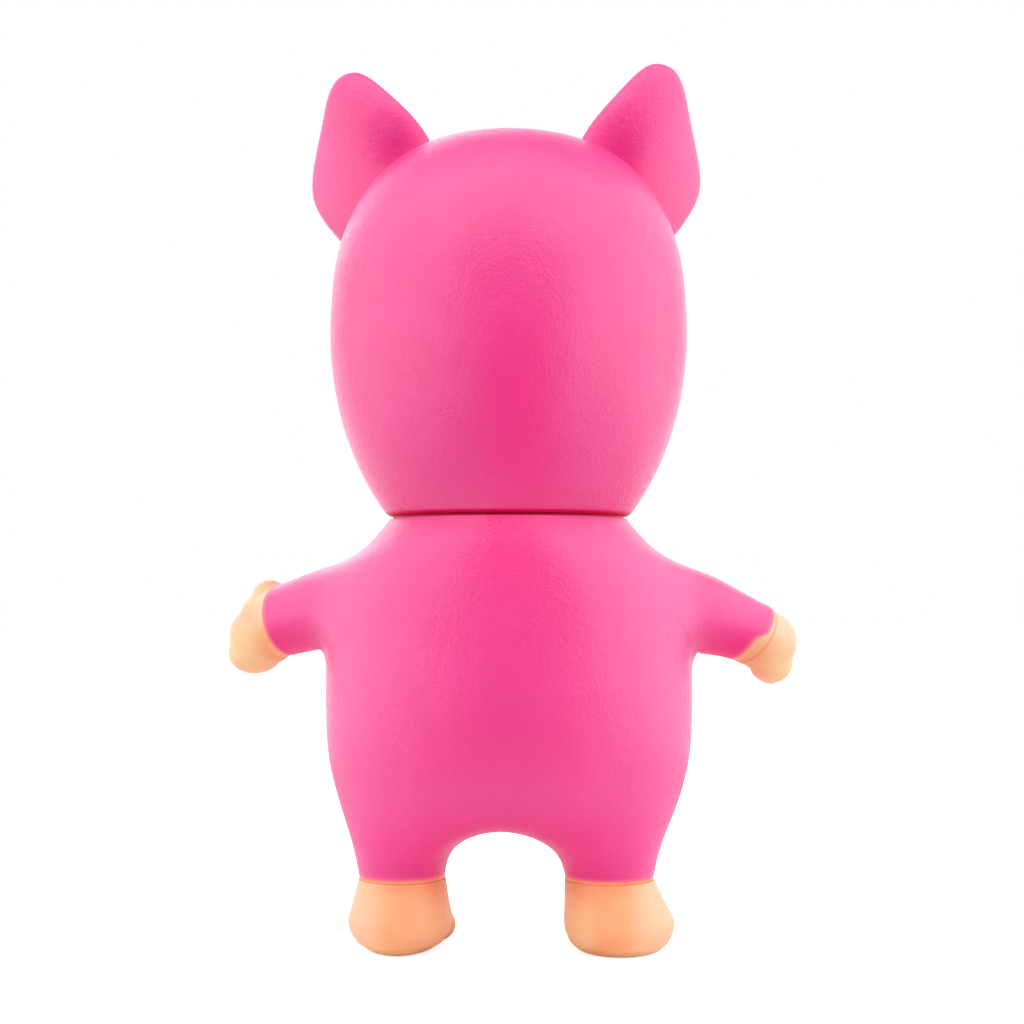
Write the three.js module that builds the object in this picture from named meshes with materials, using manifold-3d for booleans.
// Soft vinyl doll of a child in a hooded animal suit, standing, facing -Y.
// Millimetres, +Z up. The origin is on the floor, under the axis that the head turns on.
// The doll's left is +X.

import * as THREE from 'three';
import { mergeVertices } from 'three/addons/utils/BufferGeometryUtils.js';
import Module from 'manifold-3d';

const wasm = await Module();
wasm.setup();

// Walls and clearances
const wall = 1.8; // thickness of the pink castings
const fitGap = 0.3; // clearance between pieces that touch
const plugLength = 4.2; // how far a hand or a foot reaches into its sleeve or leg
const plugTaper = 0.9; // how much narrower a plug is at its inner end

// Heights of the body, stacked from the floor
const footHeight = 11.6; // floor to the trouser hem
const legLength = 13.2; // hem to the hips
const hipRise = 8.0; // hips to the lower belly
const bellyRise = 9.0; // lower belly to the widest belly
const chestRise = 10.0; // widest belly to the armpits
const sleeveRoot = 14.0; // armpits to the top of the shoulders
const shoulderRise = 3.4; // top of the shoulders to the collar
const collarRise = 3.9; // collar to the neck rim

// Half widths and half depths of the body at those heights
const hipHalfWidth = 28.6;
const hipHalfDepth = 20.4;
const lowerBellyHalfWidth = 30.6;
const lowerBellyHalfDepth = 23.0;
const bellyHalfWidth = 31.2;
const bellyHalfDepth = 24.4;
const chestHalfWidth = 31.0;
const chestHalfDepth = 23.8;
const underarmHalfDepth = 22.8;
const shoulderHalfWidth = 27.6;
const shoulderHalfDepth = 21.6;
const collarHalfWidth = 23.7;
const collarHalfDepth = 21.2;
const bellyForward = 1.2; // how far the belly is pushed to the front

// Legs and the arch between them
const legSpread = 17.6; // leg axis from the middle
const hemHalfWidth = 7.7; // at the trouser hem
const hemHalfDepth = 9.2;
const kneeRise = 6.2; // knees above the hem
const kneeHalfWidth = 8.5;
const kneeHalfDepth = 12.4;
const kneeOutset = 0.4; // knees outwards from the leg's axis
const archRise = 10.8; // top of the arch above the trouser hem
const archHalfDepth = 11.0;

// Sleeves: where each cuff is, seen from the middle of its shoulder
const cuffRadius = 6.2;
const shoulderInset = 2.5; // the shoulder's middle, inside the chest's side
// Rings of a sleeve: share of the way to the cuff, share of the bend made there, size against the cuff
const sleeveRings = [
  { way: 0.36, bend: 0.35, size: 1.12 },
  { way: 0.66, bend: 0.75, size: 1.02 },
  { way: 0.88, bend: 1, size: 1.01 },
  { way: 1, bend: 1, size: 1 },
];
const leftCuffReach = 10.2; // outwards
const leftCuffForward = 6.0;
const leftCuffDrop = 2.9;
const rightCuffReach = 12.9;
const rightCuffForward = 5.2;
const rightCuffDrop = 5.2;
// Sweep and droop are degrees: how far a sleeve points to the front, and down
const arms = {
  left: { side: 1, reach: leftCuffReach, forward: leftCuffForward, drop: leftCuffDrop, sweep: 30, droop: 11 },
  right: {
    side: -1,
    reach: rightCuffReach,
    forward: rightCuffForward,
    drop: rightCuffDrop,
    sweep: 20,
    droop: 31,
  },
};

// Neck joint: the head's lip turns between the body's deck and its flange
const neckRadius = 20.0; // outer radius of the body's neck rim
const seamGap = 0.4; // open seam under the head
const lipThickness = 1.6;
const spigotRadius = 13.7;
const spigotWall = 2.2;
const flangeOverhang = 2.5;
const flangeThickness = 1.5;

// Head and hood
const headHalfWidth = 30.4;
const headHalfDepth = 28.2;
const jawRise = 31.4; // head's underside to its widest place
const crownRise = 34.2; // widest place to the top
const crownPower = 2.5; // 2 is an ellipse, more is squarer
const headEdgeRadius = 20.5; // of the head's underside, before its edge is rounded
const headEdgeRound = 0.8;

// Face opening in the hood, and the face in it
const openingHalfWidth = 20.0;
const openingHalfHeight = 21.5;
const openingDrop = 2.0; // its middle under the head's widest place
const openingPower = 2.3;
const hemRadius = 1.1; // rolled hem of the hood, round the opening
const hemOut = 0.3; // middle of the hem, outside the hood's surface
const faceRecess = 0.6; // face surface under the hood's surface
const faceFlange = 1.6; // thickness of the flange behind the hood
const faceFlangeReach = 2.4; // how far that flange goes past the opening
const noseHalfWidth = 2.3;
const noseHalfHeight = 1.85;
const noseDrop = 7.0; // under the head's widest place
const eyeRadius = 2.7;
const eyeSpread = 8.6; // from the middle
const eyeDrop = 2.0; // under the head's widest place
const eyePocket = 1.7; // depth of the eye's pocket in the face
const eyeDome = 0.9; // height of the eye's domed front

// Ears
const leftEarOut = 21.5; // root of the ear, from the middle
const leftEarRise = 22.1; // above the head's widest place
const rightEarOut = 20.5;
const rightEarRise = 22.3;
const ears = {
  left: { side: 1, x: leftEarOut, rise: leftEarRise, tilt: 15.0 }, // tilt in degrees outwards
  right: { side: -1, x: rightEarOut, rise: rightEarRise, tilt: 13.2 },
};
const earForward = 3.2; // in front of the head's middle
// The leaf's outline: height along its axis from the root, and half width there
const earOutline = [
  [-9.0, 5.5],
  [-4.0, 9.4],
  [1.5, 11.3],
  [6.5, 11.2],
  [12.5, 9.1],
  [18.0, 6.7],
  [22.4, 4.5],
  [24.3, 1.8],
];
const earThickness = 7.0;
const earDentDepth = 1.6; // hollow at the back of the ear, near its inner edge
const earDentInwards = 3.7; // its middle from the leaf's axis
const earDentRise = 10.5; // its middle above the root
const earDentRadius = 4.0;
const earCupDepth = 1.6; // hollow at the front of the ear
const earCupRise = 8.0;
const earCupRadius = 6.5;
const earPegHalfWidth = 3.2;
const earPegHalfThickness = 1.2;
const earPegInside = 2.2; // past the hood's inner wall
const earPegOutside = 4.0; // into the ear

// Hands, seen from the middle of their cuffs: along the sleeve, up or down, and forward
const leftPalmAlong = 5.6;
const leftPalmDrop = 1.5;
const leftPalmHalfDepth = 4.6;
const leftPalmHalfHeight = 6.0;
const leftPalmHalfLength = 5.6;
const leftThumbAlong = 3.6;
const leftThumbRise = 5.0;
const leftThumbHalfDepth = 2.4;
const leftThumbHalfHeight = 2.9;
const leftThumbHalfLength = 2.7;
const leftFingersAlong = 9.4;
const leftFingersDrop = 2.4;
const leftFingersForward = 0.4;
const rightPalmAlong = 4.0;
const rightPalmDrop = 0.9;
const rightPalmHalfDepth = 4.4;
const rightPalmHalfHeight = 5.3;
const rightPalmHalfLength = 4.6;
const rightThumbAlong = 2.8;
const rightThumbRise = 2.2;
const rightThumbForward = 4.4;
const rightThumbHalfDepth = 2.1;
const rightThumbHalfHeight = 2.6;
const rightThumbHalfLength = 2.0;
const rightFingersAlong = 5.9;
const rightFingersDrop = 1.2;
const rightFingersForward = 0.9;
const hands = {
  left: {
    palm: {
      along: leftPalmAlong,
      up: -leftPalmDrop,
      radii: [leftPalmHalfDepth, leftPalmHalfHeight, leftPalmHalfLength],
    },
    thumb: {
      along: leftThumbAlong,
      up: leftThumbRise,
      forward: 0,
      radii: [leftThumbHalfDepth, leftThumbHalfHeight, leftThumbHalfLength],
    },
    fingers: { along: leftFingersAlong, up: -leftFingersDrop, forward: leftFingersForward },
  },
  right: {
    palm: {
      along: rightPalmAlong,
      up: -rightPalmDrop,
      radii: [rightPalmHalfDepth, rightPalmHalfHeight, rightPalmHalfLength],
    },
    thumb: {
      along: rightThumbAlong,
      up: rightThumbRise,
      forward: rightThumbForward,
      radii: [rightThumbHalfDepth, rightThumbHalfHeight, rightThumbHalfLength],
    },
    fingers: { along: rightFingersAlong, up: -rightFingersDrop, forward: rightFingersForward },
  },
};
const wristLength = 1.2; // of the wrist's band, between the cuff and the palm
const wristInset = 0.9; // the band's edge, inside the cuff's
const fingerHalfDepth = 2.6;
const fingerHalfHeight = 1.75;
const fingerHalfLength = 2.7;
const fingerStep = 2.5;
const fingerCount = 4;

// Feet, seen from the leg's axis
const footHalfWidth = 8.9; // at its widest
const footWidestZ = 5.2;
const footOutset = 1.0; // middle of the foot, outwards
const heelReach = 9.4; // back
const toeReach = 13.4; // forward
const instepReach = 10.6; // forward, at the top of the foot
const soleHalfWidth = 5.8;
const soleHeelReach = 5.0; // back, at the flat of the sole
const soleToeReach = 12.0; // forward
const footPower = 2.2; // 2 is an ellipse, more is squarer
const toeCount = 5;
const bigToeRadius = 2.6;
const littleToeRadius = 1.8;
const toeLift = 2.9; // toe axis above the floor
const toeSet = 0.4; // toe middles inside the foot's front
const toeStretch = 1.2; // length of a toe against its width
const toeArc = 1.3; // half width of the arc that the toes lie on, against the foot's

// How finely round things are divided
const torsoSides = 16;
const armSides = 8;
const legSides = 12;
const headSides = 32;
const hemSides = 8;
const hemSteps = 48;
const headJawSteps = 7;
const headCrownSteps = 8;
const headTopStep = 0.4; // from the last ring of the crown to its top, in steps
const neckSides = 32;
const earSides = 18;
const earSteps = 14;
const footSides = 24;
const footEdgeAngles = [0, 30, 60, 90]; // round the edge of the sole
const eyeSides = 20;
const eyeDomeAngles = [0, 22.5, 45, 67.5];
const ballSides = 10;
const ballRings = 7;
const mergeDistance = 1e-4;
const halvings = 40; // steps of the search for a point on the hood

// Heights worked out from the sizes above
const hemZ = footHeight;
const hipZ = hemZ + legLength;
const lowerBellyZ = hipZ + hipRise;
const bellyZ = lowerBellyZ + bellyRise;
const armpitZ = bellyZ + chestRise;
const shoulderMidZ = armpitZ + sleeveRoot / 2;
const shoulderTopZ = armpitZ + sleeveRoot;
const collarZ = shoulderTopZ + shoulderRise;
const neckZ = collarZ + collarRise;
const headBottomZ = neckZ + seamGap;
const headWidestZ = headBottomZ + jawRise;

const degrees = THREE.MathUtils.degToRad;
const up = new THREE.Vector3(0, 0, 1);

// Solids

function solidFrom(positions, indices) {
  const mesh = new wasm.Mesh({
    numProp: 3,
    vertProperties: new Float32Array(positions),
    triVerts: new Uint32Array(indices),
  });
  return new wasm.Manifold(mesh);
}

function solidOf(geometry) {
  const bare = geometry.index ? geometry.toNonIndexed() : geometry.clone();
  bare.deleteAttribute('normal');
  bare.deleteAttribute('uv');
  const merged = mergeVertices(bare, mergeDistance);
  return solidFrom(merged.attributes.position.array, merged.index.array);
}

function geometryOf(solid) {
  const mesh = solid.getMesh();
  const geometry = new THREE.BufferGeometry();
  const positions = new Float32Array(mesh.numVert * 3);
  for (let i = 0; i < mesh.numVert; i += 1) {
    for (let k = 0; k < 3; k += 1) {
      positions[i * 3 + k] = mesh.vertProperties[i * mesh.numProp + k];
    }
  }
  geometry.setAttribute('position', new THREE.BufferAttribute(positions, 3));
  geometry.setIndex(new THREE.BufferAttribute(new Uint32Array(mesh.triVerts), 1));
  const loose = geometry.toNonIndexed();
  loose.computeVertexNormals();
  return loose;
}

// Triangles between rings of as many points each, and from the last ring to the first if it is closed.
// Seen from the last ring towards the first, the points of a ring run anticlockwise.
function bandsOf(rings, closed) {
  const count = rings[0].length;
  const indices = [];
  for (let i = 0; i + (closed ? 0 : 1) < rings.length; i += 1) {
    const next = ((i + 1) % rings.length) * count;
    for (let j = 0; j < count; j += 1) {
      const k = (j + 1) % count;
      indices.push(i * count + j, i * count + k, next + k);
      indices.push(i * count + j, next + k, next + j);
    }
  }
  return indices;
}

// A closed solid through rings, capped by a fan at each end
function loft(rings) {
  const count = rings[0].length;
  const positions = rings.flat().flatMap((p) => [p.x, p.y, p.z]);
  const indices = bandsOf(rings, false);
  const caps = [
    { ring: 0, order: [1, 0] },
    { ring: rings.length - 1, order: [0, 1] },
  ];
  for (const { ring, order } of caps) {
    const middle = new THREE.Vector3();
    rings[ring].forEach((p) => middle.add(p));
    middle.divideScalar(count);
    const centre = positions.length / 3;
    positions.push(middle.x, middle.y, middle.z);
    for (let j = 0; j < count; j += 1) {
      const pair = [ring * count + j, ring * count + ((j + 1) % count)];
      indices.push(centre, pair[order[0]], pair[order[1]]);
    }
  }
  return solidFrom(positions, indices);
}

// An oval ring in a level plane; a power above 2 makes it squarer
function levelRing(sides, z, halfWidth, front, back, middleX = 0, power = 2) {
  return Array.from({ length: sides }, (_, j) => {
    const angle = (j / sides) * 2 * Math.PI;
    const c = Math.cos(angle);
    const s = Math.sin(angle);
    const x = Math.sign(c) * Math.abs(c) ** (2 / power) * halfWidth;
    const y = Math.sign(s) * Math.abs(s) ** (2 / power) * (s > 0 ? back : front);
    return new THREE.Vector3(middleX + x, y, z);
  });
}

function ball(radii, matrix) {
  const geometry = new THREE.SphereGeometry(1, ballSides, ballRings);
  geometry.scale(...radii);
  geometry.applyMatrix4(matrix);
  return solidOf(geometry);
}

// A closed round solid from a profile of [radius, height] pairs, turned about Z
function turned(profile, sides, matrix = new THREE.Matrix4()) {
  const points = profile.map(([radius, height]) => new THREE.Vector2(radius, height));
  const geometry = new THREE.LatheGeometry(points, sides);
  geometry.rotateX(Math.PI / 2);
  geometry.applyMatrix4(matrix);
  return solidOf(geometry);
}

function round(radius, bottom, top, sides, bottomRadius = radius) {
  const geometry = new THREE.CylinderGeometry(radius, bottomRadius, top - bottom, sides);
  geometry.rotateX(Math.PI / 2);
  geometry.translate(0, 0, (top + bottom) / 2);
  return geometry;
}

// A frame whose Z runs along an axis and whose Y points as far up as it can
function frameAlong(origin, axis) {
  const z = axis.clone().normalize();
  const x = new THREE.Vector3().crossVectors(up, z).normalize();
  const y = new THREE.Vector3().crossVectors(z, x);
  return new THREE.Matrix4().makeBasis(x, y, z).setPosition(origin);
}

// Body shell: a cage of quads, rounded by one step of subdivision, and given a wall

class Cage {
  constructor() {
    this.points = [];
    this.quads = [];
  }

  add(point) {
    this.points.push(point);
    return this.points.length - 1;
  }

  addRing(points) {
    return points.map((point) => this.add(point));
  }

  // Quads from one loop to the next, which lies further along the limb
  join(loop, next) {
    loop.forEach((a, j) => {
      const k = (j + 1) % loop.length;
      this.quads.push([a, next[j], next[k], loop[k]]);
    });
  }

  // Leaves out the points that no quad uses
  trim() {
    const used = [...new Set(this.quads.flat())];
    const place = new Map(used.map((old, i) => [old, i]));
    this.points = used.map((i) => this.points[i]);
    this.quads = this.quads.map((quad) => quad.map((i) => place.get(i)));
    return this;
  }
}

// How much one step of subdivision draws in a ring of so many points
function drawIn(count) {
  return (3 + Math.cos((2 * Math.PI) / count)) / 4;
}

function edgeKey(a, b) {
  return a < b ? `${a}_${b}` : `${b}_${a}`;
}

// One step of Catmull and Clark's rule, with open edges kept as smooth curves
function subdivide({ points, quads }) {
  const edges = new Map();
  const faceMiddles = quads.map((quad) => {
    const middle = new THREE.Vector3();
    quad.forEach((i) => middle.addScaledVector(points[i], 1 / quad.length));
    return middle;
  });
  quads.forEach((quad, face) => {
    quad.forEach((a, j) => {
      const b = quad[(j + 1) % quad.length];
      const key = edgeKey(a, b);
      if (!edges.has(key)) {
        edges.set(key, { ends: [a, b], faces: [] });
      }
      edges.get(key).faces.push(face);
    });
  });
  const out = new Cage();
  const around = points.map(() => ({ faces: new Set(), edges: [] }));
  edges.forEach((edge) => {
    edge.ends.forEach((end) => {
      around[end].edges.push(edge);
      edge.faces.forEach((face) => around[end].faces.add(face));
    });
  });
  points.forEach((point, i) => {
    const rim = around[i].edges.filter((edge) => edge.faces.length === 1);
    const moved = new THREE.Vector3();
    if (rim.length > 0) {
      moved.addScaledVector(point, 0.75);
      rim.forEach(({ ends }) => {
        moved.addScaledVector(points[ends[0] === i ? ends[1] : ends[0]], 0.125);
      });
    } else {
      const n = around[i].edges.length;
      around[i].faces.forEach((face) => moved.addScaledVector(faceMiddles[face], 1 / (n * n)));
      around[i].edges.forEach(({ ends }) => {
        moved.addScaledVector(points[ends[0]], 1 / (n * n));
        moved.addScaledVector(points[ends[1]], 1 / (n * n));
      });
      moved.addScaledVector(point, (n - 3) / n);
    }
    out.add(moved);
  });
  const middleOf = faceMiddles.map((middle) => out.add(middle));
  edges.forEach((edge) => {
    const [a, b] = edge.ends.map((i) => points[i]);
    const middle = a.clone().add(b).multiplyScalar(0.5);
    if (edge.faces.length === 2) {
      const between = faceMiddles[edge.faces[0]].clone().add(faceMiddles[edge.faces[1]]);
      middle.multiplyScalar(0.5).addScaledVector(between, 0.25);
    }
    edge.middle = out.add(middle);
  });
  quads.forEach((quad, face) => {
    quad.forEach((a, j) => {
      const b = quad[(j + 1) % quad.length];
      const before = quad[(j + quad.length - 1) % quad.length];
      const next = edges.get(edgeKey(a, b)).middle;
      const last = edges.get(edgeKey(before, a)).middle;
      out.quads.push([a, next, middleOf[face], last]);
    });
  });
  return out;
}

// The open edges of a cage as loops of point numbers
function rimsOf({ quads }) {
  const directed = new Set();
  quads.forEach((quad) => {
    quad.forEach((a, j) => directed.add(`${a}_${quad[(j + 1) % quad.length]}`));
  });
  const next = new Map();
  directed.forEach((key) => {
    const [a, b] = key.split('_');
    if (!directed.has(`${b}_${a}`)) {
      next.set(Number(a), Number(b));
    }
  });
  const loops = [];
  while (next.size > 0) {
    const loop = [];
    let at = next.keys().next().value;
    while (next.has(at)) {
      loop.push(at);
      const following = next.get(at);
      next.delete(at);
      at = following;
    }
    loops.push(loop);
  }
  return loops;
}

// A closed shell from an open cage: the cage, its copy a wall further in, and flat rims
function shellOf(cage, thickness) {
  const { points, quads } = cage;
  const normals = points.map(() => new THREE.Vector3());
  quads.forEach((quad) => {
    const across = points[quad[2]].clone().sub(points[quad[0]]);
    const along = points[quad[3]].clone().sub(points[quad[1]]);
    const normal = across.cross(along);
    quad.forEach((i) => normals[i].add(normal));
  });
  const rims = rimsOf(cage);
  rims.forEach((loop) => {
    const middle = new THREE.Vector3();
    loop.forEach((i) => middle.addScaledVector(points[i], 1 / loop.length));
    const axis = new THREE.Vector3();
    loop.forEach((i, j) => {
      const a = points[i].clone().sub(middle);
      const b = points[loop[(j + 1) % loop.length]].clone().sub(middle);
      axis.add(a.cross(b));
    });
    axis.normalize();
    loop.forEach((i) => normals[i].addScaledVector(axis, -normals[i].dot(axis)));
  });
  const inner = points.map((point, i) => point.clone().addScaledVector(normals[i].normalize(), -thickness));
  const positions = [...points, ...inner].flatMap((p) => [p.x, p.y, p.z]);
  const n = points.length;
  const indices = [];
  quads.forEach(([a, b, c, d]) => {
    indices.push(a, b, c, a, c, d);
    indices.push(n + a, n + c, n + b, n + a, n + d, n + c);
  });
  rims.forEach((loop) => {
    loop.forEach((a, j) => {
      const b = loop[(j + 1) % loop.length];
      indices.push(b, a, n + a, b, n + a, n + b);
    });
  });
  return solidFrom(positions, indices);
}

function cuffOf(arm) {
  const shoulder = new THREE.Vector3(arm.side * (chestHalfWidth - shoulderInset), 0, shoulderMidZ);
  const offset = new THREE.Vector3(arm.side * arm.reach, -arm.forward, -arm.drop);
  const sweep = degrees(arm.sweep);
  const droop = degrees(arm.droop);
  const axis = new THREE.Vector3(
    arm.side * Math.cos(sweep) * Math.cos(droop),
    -Math.sin(sweep) * Math.cos(droop),
    -Math.sin(droop),
  );
  return { shoulder, centre: shoulder.clone().add(offset), axis };
}

// How much of the belly's push to the front a height gets: all at the belly, none at the shoulders
function bellyShare(z) {
  return Math.max(0, 1 - Math.abs(z - bellyZ) / (shoulderTopZ - bellyZ));
}

// Points round a sleeve, from its top, in the sense of the loop at its root
function sleeveRing(centre, axis, radius) {
  const frame = frameAlong(centre, axis);
  return Array.from({ length: armSides }, (_, j) => {
    const angle = (j / armSides) * 2 * Math.PI;
    const point = new THREE.Vector3(Math.sin(angle) * radius, Math.cos(angle) * radius, 0);
    return point.applyMatrix4(frame);
  });
}

function bodyCage() {
  const cage = new Cage();
  const heights = [
    [neckZ, neckRadius, neckRadius],
    [collarZ, collarHalfWidth, collarHalfDepth],
    [shoulderTopZ, shoulderHalfWidth, shoulderHalfDepth],
    [shoulderMidZ, chestHalfWidth, underarmHalfDepth],
    [armpitZ, chestHalfWidth, chestHalfDepth],
    [bellyZ, bellyHalfWidth, bellyHalfDepth],
    [lowerBellyZ, lowerBellyHalfWidth, lowerBellyHalfDepth],
    [hipZ, hipHalfWidth, hipHalfDepth],
  ];
  const grow = 1 / drawIn(torsoSides);
  const torso = heights.map(([z, halfWidth, halfDepth]) =>
    cage.addRing(
      Array.from({ length: torsoSides }, (_, j) => {
        const angle = (j / torsoSides) * 2 * Math.PI;
        const x = Math.cos(angle) * halfWidth * grow;
        const y = Math.sin(angle) * halfDepth * grow - bellyShare(z) * bellyForward;
        return new THREE.Vector3(x, y, z);
      }),
    ),
  );
  const [top, bottom] = [2, 4];
  const quarter = torsoSides / 4;
  for (let i = 0; i + 1 < torso.length; i += 1) {
    for (let j = 0; j < torsoSides; j += 1) {
      const k = (j + 1) % torsoSides;
      const besideAxis = [j, k].some((column) => column % (2 * quarter) === 0);
      if (i < top || i >= bottom || !besideAxis) {
        cage.quads.push([torso[i][j], torso[i + 1][j], torso[i + 1][k], torso[i][k]]);
      }
    }
  }
  addSleeve(cage, arms.left, sleeveLoop(torso, top, 0, 1));
  addSleeve(cage, arms.right, sleeveLoop(torso, top, 2 * quarter, 1));
  addLegs(cage, torso[torso.length - 1]);
  return cage.trim();
}

// The eight points of the body round a sleeve's root, from its top, towards later columns first
function sleeveLoop(torso, top, column) {
  const later = (column + 1) % torsoSides;
  const earlier = (column + torsoSides - 1) % torsoSides;
  const order = [
    [top, column],
    [top, later],
    [top + 1, later],
    [top + 2, later],
    [top + 2, column],
    [top + 2, earlier],
    [top + 1, earlier],
    [top, earlier],
  ];
  return order.map(([ring, j]) => torso[ring][j]);
}

function addSleeve(cage, arm, root) {
  const { shoulder, centre, axis } = cuffOf(arm);
  const radius = cuffRadius / drawIn(armSides);
  const outwards = new THREE.Vector3(arm.side, 0, 0);
  const rings = sleeveRings.map(({ way, bend, size }) => {
    const middle = shoulder.clone().lerp(centre, way);
    return cage.addRing(sleeveRing(middle, outwards.clone().lerp(axis, bend), radius * size));
  });
  [root, ...rings].forEach((ring, i, all) => {
    if (i > 0) {
      cage.join(all[i - 1], ring);
    }
  });
}

function addLegs(cage, hips) {
  const archZ = hemZ + archRise;
  const crotch = [1, 0, -1].map((step) => cage.add(new THREE.Vector3(0, step * archHalfDepth, archZ)));
  const quarter = torsoSides / 4;
  const half = torsoSides / 2;
  const grow = 1 / drawIn(legSides);
  for (const side of [1, -1]) {
    const start = side > 0 ? 3 * quarter : quarter;
    const outer = Array.from({ length: half + 1 }, (_, j) => hips[(start + j) % torsoSides]);
    const inner = side > 0 ? crotch : [...crotch].reverse();
    const loop = [...outer, ...inner];
    const ring = (z, halfWidth, halfDepth, middle) =>
      cage.addRing(
        Array.from({ length: legSides }, (_, j) => {
          const angle = ((j - quarter) / legSides) * 2 * Math.PI + (side > 0 ? 0 : Math.PI);
          const x = side * middle + Math.cos(angle) * halfWidth * grow;
          return new THREE.Vector3(x, Math.sin(angle) * halfDepth * grow, z);
        }),
      );
    const knee = ring(hemZ + kneeRise, kneeHalfWidth, kneeHalfDepth, legSpread + kneeOutset);
    const hem = ring(hemZ, hemHalfWidth, hemHalfDepth, legSpread);
    cage.join(loop, knee);
    cage.join(knee, hem);
  }
}

function neckFitting() {
  const deckRadius = neckRadius - wall / 2;
  const lipTop = headBottomZ + lipThickness;
  const flangeBottom = lipTop + fitGap;
  const flangeTop = flangeBottom + flangeThickness;
  const bore = spigotRadius - spigotWall;
  const flangeRadius = spigotRadius + flangeOverhang;
  return turned(
    [
      [bore, neckZ - wall],
      [deckRadius, neckZ - wall],
      [deckRadius, neckZ],
      [spigotRadius, neckZ],
      [spigotRadius, flangeBottom],
      [flangeRadius, flangeBottom],
      [flangeRadius - flangeThickness / 2, flangeTop],
      [bore, flangeTop],
      [bore, neckZ - wall],
    ],
    neckSides,
  );
}

function bodySolid() {
  return shellOf(subdivide(bodyCage()), wall).add(neckFitting());
}

// Head: an egg on a level underside, with a squarer crown

// Half the head's size in one direction at a height, for a surface so far inside the outer one
function eggHalf(z, half, inset) {
  const widest = half - inset;
  if (z < headWidestZ) {
    const edge = headEdgeRadius - inset;
    const drop = jawRise / Math.sqrt(1 - (edge / widest) ** 2);
    return widest * Math.sqrt(1 - ((headWidestZ - z) / drop) ** 2);
  }
  const t = Math.min(1, (z - headWidestZ) / (crownRise - inset));
  return widest * (1 - t ** crownPower) ** (1 / crownPower);
}

function eggRing(z, inset, drawnIn = 0) {
  const halfWidth = eggHalf(z, headHalfWidth, inset) - drawnIn;
  const halfDepth = eggHalf(z, headHalfDepth, inset) - drawnIn;
  return levelRing(headSides, z, halfWidth, halfDepth, halfDepth);
}

// Heights of the crown's rings, close together towards the top
function crownHeights(inset) {
  return Array.from({ length: headCrownSteps }, (_, i) => {
    const angle = ((i + 1) / (headCrownSteps + headTopStep)) * (Math.PI / 2);
    return headWidestZ + (crownRise - inset) * Math.sin(angle) ** (2 / crownPower);
  });
}

function eggSolid(inset, bottom, rounded = 0) {
  const rings = [];
  for (const angle of rounded > 0 ? [0, 30, 60].map(degrees) : []) {
    const z = bottom + rounded * (1 - Math.cos(angle));
    rings.push(eggRing(z, inset, rounded * (1 - Math.sin(angle))));
  }
  for (let i = 0; i <= headJawSteps; i += 1) {
    rings.push(eggRing(bottom + rounded + ((headWidestZ - bottom - rounded) * i) / headJawSteps, inset));
  }
  crownHeights(inset).forEach((z) => rings.push(eggRing(z, inset)));
  return loft(rings);
}

// Outline of the face opening, seen from the front
function openingOutline(steps, grown) {
  return Array.from({ length: steps }, (_, j) => {
    const angle = (j / steps) * 2 * Math.PI;
    const c = Math.cos(angle);
    const s = Math.sin(angle);
    const x = Math.sign(c) * Math.abs(c) ** (2 / openingPower) * (openingHalfWidth + grown);
    const z = Math.sign(s) * Math.abs(s) ** (2 / openingPower) * (openingHalfHeight + grown);
    return new THREE.Vector3(x, 0, headWidestZ - openingDrop + z);
  });
}

// Prism through the front of the head, with that outline
function openingPrism(grown) {
  const ringAt = (y) => openingOutline(headSides, grown).map((point) => point.setY(y));
  return loft([ringAt(-headHalfDepth / 4), ringAt(-headHalfDepth - 2 * wall)]);
}

// Point on the front of the head, so far inside its outer surface, and the direction that it faces
function frontPoint(x, z, inset) {
  const halfWidth = eggHalf(z, headHalfWidth, inset);
  const halfDepth = eggHalf(z, headHalfDepth, inset);
  const y = -halfDepth * Math.sqrt(1 - (x / halfWidth) ** 2);
  const facing = new THREE.Vector3(x / halfWidth ** 2, y / halfDepth ** 2, 0).normalize();
  return { point: new THREE.Vector3(x, y, z), facing };
}

// The hood's rolled hem: a round bead along the edge of the opening
function hemSolid() {
  const path = openingOutline(hemSteps, hemRadius).map(({ x, z }) => frontPoint(x, z, -hemOut));
  const rings = path.map(({ point, facing }, i) => {
    const before = path[(i + hemSteps - 1) % hemSteps].point;
    const along = path[(i + 1) % hemSteps].point.clone().sub(before).normalize();
    const across = new THREE.Vector3().crossVectors(along, facing).normalize();
    const outwards = new THREE.Vector3().crossVectors(across, along);
    return Array.from({ length: hemSides }, (_, j) => {
      const angle = (j / hemSides) * 2 * Math.PI;
      const round = point.clone().addScaledVector(outwards, hemRadius * Math.cos(angle));
      return round.addScaledVector(across, hemRadius * Math.sin(angle));
    });
  });
  return solidFrom(
    rings.flat().flatMap((p) => [p.x, p.y, p.z]),
    bandsOf(rings, true),
  );
}

function earBase(ear) {
  return new THREE.Vector3(ear.side * ear.x, -earForward, headWidestZ + ear.rise);
}

function earPeg(ear, grown) {
  const base = earBase(ear);
  const inwards = new THREE.Vector3(-base.x, 0, headWidestZ - base.z).normalize();
  const surface = surfaceAlong(base, inwards);
  const start = surface.clone().addScaledVector(inwards, -earPegOutside);
  const length = earPegOutside + wall + earPegInside + grown;
  const box = new THREE.BoxGeometry(
    2 * (earPegHalfThickness + grown),
    2 * (earPegHalfWidth + grown),
    length,
  );
  box.translate(0, 0, length / 2);
  const z = inwards;
  const x = new THREE.Vector3(0, 1, 0);
  const y = new THREE.Vector3().crossVectors(z, x);
  box.applyMatrix4(new THREE.Matrix4().makeBasis(x, y, z).setPosition(start));
  return solidOf(box);
}

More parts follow.
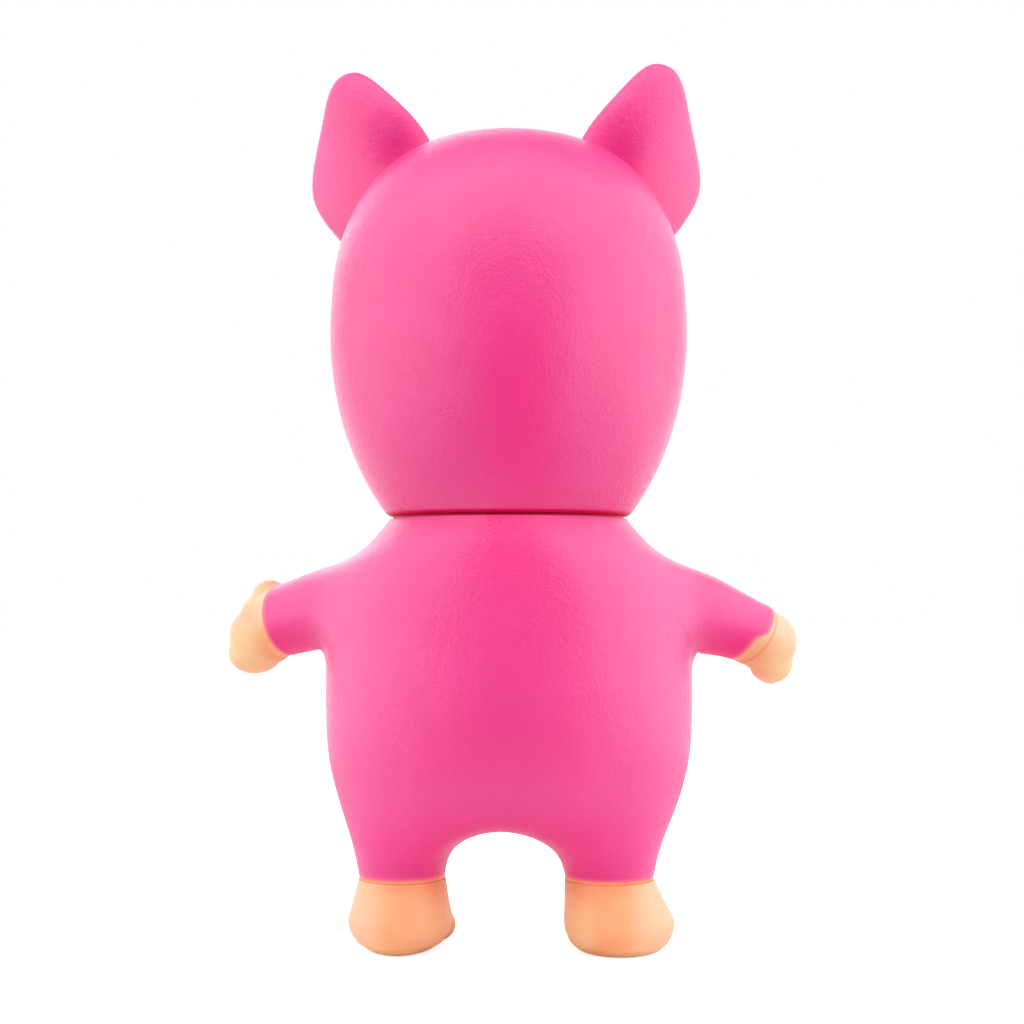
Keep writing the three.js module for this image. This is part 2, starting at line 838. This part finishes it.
// Where a line through a point meets the hood's outer surface
function surfaceAlong(base, inwards) {
  let [outside, inside] = [-headHalfWidth, headHalfWidth];
  for (let i = 0; i < halvings; i += 1) {
    const middle = (outside + inside) / 2;
    const p = base.clone().addScaledVector(inwards, middle);
    const halfWidth = eggHalf(p.z, headHalfWidth, 0);
    const halfDepth = eggHalf(p.z, headHalfDepth, 0);
    const isInside = (p.x / halfWidth) ** 2 + (p.y / halfDepth) ** 2 < 1;
    [outside, inside] = isInside ? [outside, middle] : [middle, inside];
  }
  return base.clone().addScaledVector(inwards, inside);
}

function hoodSolid() {
  const cavityFloor = headBottomZ + lipThickness;
  const hole = solidOf(round(spigotRadius + fitGap, headBottomZ - wall, cavityFloor + wall, neckSides));
  return eggSolid(0, headBottomZ, headEdgeRound)
    .subtract(eggSolid(wall, cavityFloor))
    .subtract(hole)
    .subtract(openingPrism(0))
    .add(hemSolid())
    .subtract(earPeg(ears.left, fitGap))
    .subtract(earPeg(ears.right, fitGap));
}

function faceSolid() {
  const flangeInset = wall + fitGap;
  const bottom = headBottomZ + lipThickness + fitGap;
  const inside = eggSolid(flangeInset + faceFlange, bottom);
  const plate = eggSolid(faceRecess, bottom).intersect(openingPrism(-fitGap));
  const flange = eggSolid(flangeInset, bottom).intersect(openingPrism(faceFlangeReach));
  const nose = frontPoint(0, headWidestZ - noseDrop, faceRecess);
  const noseFrame = new THREE.Matrix4().setPosition(nose.point.x, nose.point.y, nose.point.z);
  let face = plate.add(flange).subtract(inside);
  face = face.add(ball([noseHalfWidth, noseHalfHeight, noseHalfHeight], noseFrame));
  for (const side of [1, -1]) {
    const { point, facing } = frontPoint(side * eyeSpread, headWidestZ - eyeDrop, faceRecess);
    const pocket = round(eyeRadius + fitGap, -eyePocket, wall, eyeSides);
    pocket.applyMatrix4(frameAlong(point, facing));
    face = face.subtract(solidOf(pocket));
  }
  return face;
}

function eyeSolid(side) {
  const { point, facing } = frontPoint(side * eyeSpread, headWidestZ - eyeDrop, faceRecess);
  const back = -eyePocket + fitGap;
  const profile = [[0, back], [eyeRadius, back]];
  for (const angle of eyeDomeAngles.map(degrees)) {
    profile.push([eyeRadius * Math.cos(angle), eyeDome * Math.sin(angle)]);
  }
  profile.push([0, eyeDome]);
  return turned(profile, eyeSides, frameAlong(point, facing));
}

// Ears: a leaf of oval sections along its own axis

function earSolid(ear) {
  const outline = new THREE.SplineCurve(earOutline.map(([v, half]) => new THREE.Vector2(half, v)));
  const widest = Math.max(...earOutline.map(([, half]) => half));
  const rings = outline.getSpacedPoints(earSteps).map(({ x: half, y: v }) => {
    const thick = (earThickness / 2) * Math.sqrt(half / widest);
    return Array.from({ length: earSides }, (_, j) => {
      const angle = (j / earSides) * 2 * Math.PI;
      const u = Math.cos(angle) * half;
      const fromDent = (u + ear.side * earDentInwards) ** 2 + (v - earDentRise) ** 2;
      const fromCup = u ** 2 + (v - earCupRise) ** 2;
      const back = Math.max(0, Math.sin(angle));
      const front = Math.max(0, -Math.sin(angle));
      const dent = back * earDentDepth * Math.exp(-fromDent / earDentRadius ** 2);
      const cup = front * earCupDepth * Math.exp(-fromCup / earCupRadius ** 2);
      return new THREE.Vector3(u, Math.sin(angle) * thick - dent + cup, v);
    });
  });
  const tilt = new THREE.Matrix4().makeRotationY(degrees(ear.side * ear.tilt)).setPosition(earBase(ear));
  rings.flat().forEach((p) => p.applyMatrix4(tilt));
  return loft(rings).subtract(eggSolid(-fitGap, headBottomZ)).add(earPeg(ear, 0));
}

// Hands

function handSolid(arm, hand) {
  const { centre, axis } = cuffOf(arm);
  const frame = frameAlong(centre, axis);
  const { palm, thumb, fingers } = hand;
  const fingerRadii = [fingerHalfDepth, fingerHalfHeight, fingerHalfLength];
  const place = (forward, high, along) =>
    frame.clone().multiply(new THREE.Matrix4().setPosition(-forward * arm.side, high, along));
  const turnedRound = (radius, start, end, startRadius) =>
    solidOf(round(radius, start, end, armSides * 2, startRadius).applyMatrix4(frame));
  let solid = turnedRound(cuffRadius - wristInset, fitGap, fitGap + wristLength)
    .add(ball(palm.radii, place(0, palm.up, palm.along)))
    .add(ball(thumb.radii, place(thumb.forward, thumb.up, thumb.along)));
  for (let i = 0; i < fingerCount; i += 1) {
    const high = fingers.up + (i - (fingerCount - 1) / 2) * fingerStep;
    solid = solid.add(ball(fingerRadii, place(fingers.forward, high, fingers.along)));
  }
  const sleeveSpace = turnedRound(3 * cuffRadius, -2 * plugLength, fitGap);
  const plugRadius = cuffRadius - wall - 2 * fitGap;
  const plug = turnedRound(plugRadius, -plugLength, fitGap + wristLength, plugRadius - plugTaper);
  return solid.subtract(sleeveSpace).add(plug);
}

// Feet

function footSolid(side) {
  const middle = side * (legSpread + footOutset);
  const ankle = side * legSpread;
  const shin = hemZ - fitGap;
  const instepZ = (shin + footWidestZ) / 2;
  const instepHalfWidth = (footHalfWidth + hemHalfWidth) / 2;
  const ring = (z, halfWidth, front, back, x) =>
    levelRing(footSides, z, halfWidth, front, back, x, footPower);
  const edge = footEdgeAngles.map(degrees).map((angle) => {
    const outwards = (sole, widest) => THREE.MathUtils.lerp(sole, widest, Math.sin(angle));
    return ring(
      footWidestZ * (1 - Math.cos(angle)),
      outwards(soleHalfWidth, footHalfWidth),
      outwards(soleToeReach, toeReach),
      outwards(soleHeelReach, heelReach),
      middle,
    );
  });
  let solid = loft([
    ...edge,
    ring(instepZ, instepHalfWidth, instepReach, heelReach, (middle + ankle) / 2),
    ring(shin, hemHalfWidth, hemHalfDepth, hemHalfDepth, ankle),
  ]);
  const plugRadius = hemHalfWidth - wall - 2 * fitGap;
  const plug = round(plugRadius - plugTaper, shin - wall, hemZ + plugLength, legSides * 2, plugRadius);
  plug.scale(1, (hemHalfDepth - wall - 2 * fitGap) / plugRadius, 1);
  plug.translate(ankle, 0, 0);
  solid = solid.add(solidOf(plug));
  for (let i = 0; i < toeCount; i += 1) {
    const share = i / (toeCount - 1);
    const radius = THREE.MathUtils.lerp(bigToeRadius, littleToeRadius, share);
    const across = THREE.MathUtils.lerp(bigToeRadius - footHalfWidth, footHalfWidth - littleToeRadius, share);
    const curve = Math.sqrt(1 - (across / (footHalfWidth * toeArc)) ** 2);
    const forward = -(toeReach - toeSet) * curve;
    const frame = new THREE.Matrix4().setPosition(middle + side * across, forward, toeLift);
    solid = solid.add(ball([radius, radius * toeStretch, radius], frame));
  }
  return solid;
}

// Finishes

const pinkVinyl = { color: 0xf5448f, roughness: 0.45, metalness: 0 };
const peachVinyl = { color: 0xfcc79c, roughness: 0.5, metalness: 0 };
const darkGloss = { color: 0x2a1712, roughness: 0.15, metalness: 0 };

function piece(name, solid, finish) {
  const mesh = new THREE.Mesh(geometryOf(solid), new THREE.MeshStandardMaterial(finish));
  mesh.name = name;
  return mesh;
}

// The doll: everything under the neck seam, and the head group that turns on it

const doll = new THREE.Group();
doll.add(piece('body_shell', bodySolid(), pinkVinyl));
doll.add(piece('left_hand', handSolid(arms.left, hands.left), peachVinyl));
doll.add(piece('right_hand', handSolid(arms.right, hands.right), peachVinyl));
doll.add(piece('left_foot', footSolid(1), peachVinyl));
doll.add(piece('right_foot', footSolid(-1), peachVinyl));

const head = new THREE.Group();
head.add(piece('hood_shell', hoodSolid(), pinkVinyl));
head.add(piece('left_ear', earSolid(ears.left), pinkVinyl));
head.add(piece('right_ear', earSolid(ears.right), pinkVinyl));
head.add(piece('face', faceSolid(), peachVinyl));
head.add(piece('left_eye', eyeSolid(1), darkGloss));
head.add(piece('right_eye', eyeSolid(-1), darkGloss));
doll.add(head);

export default doll;
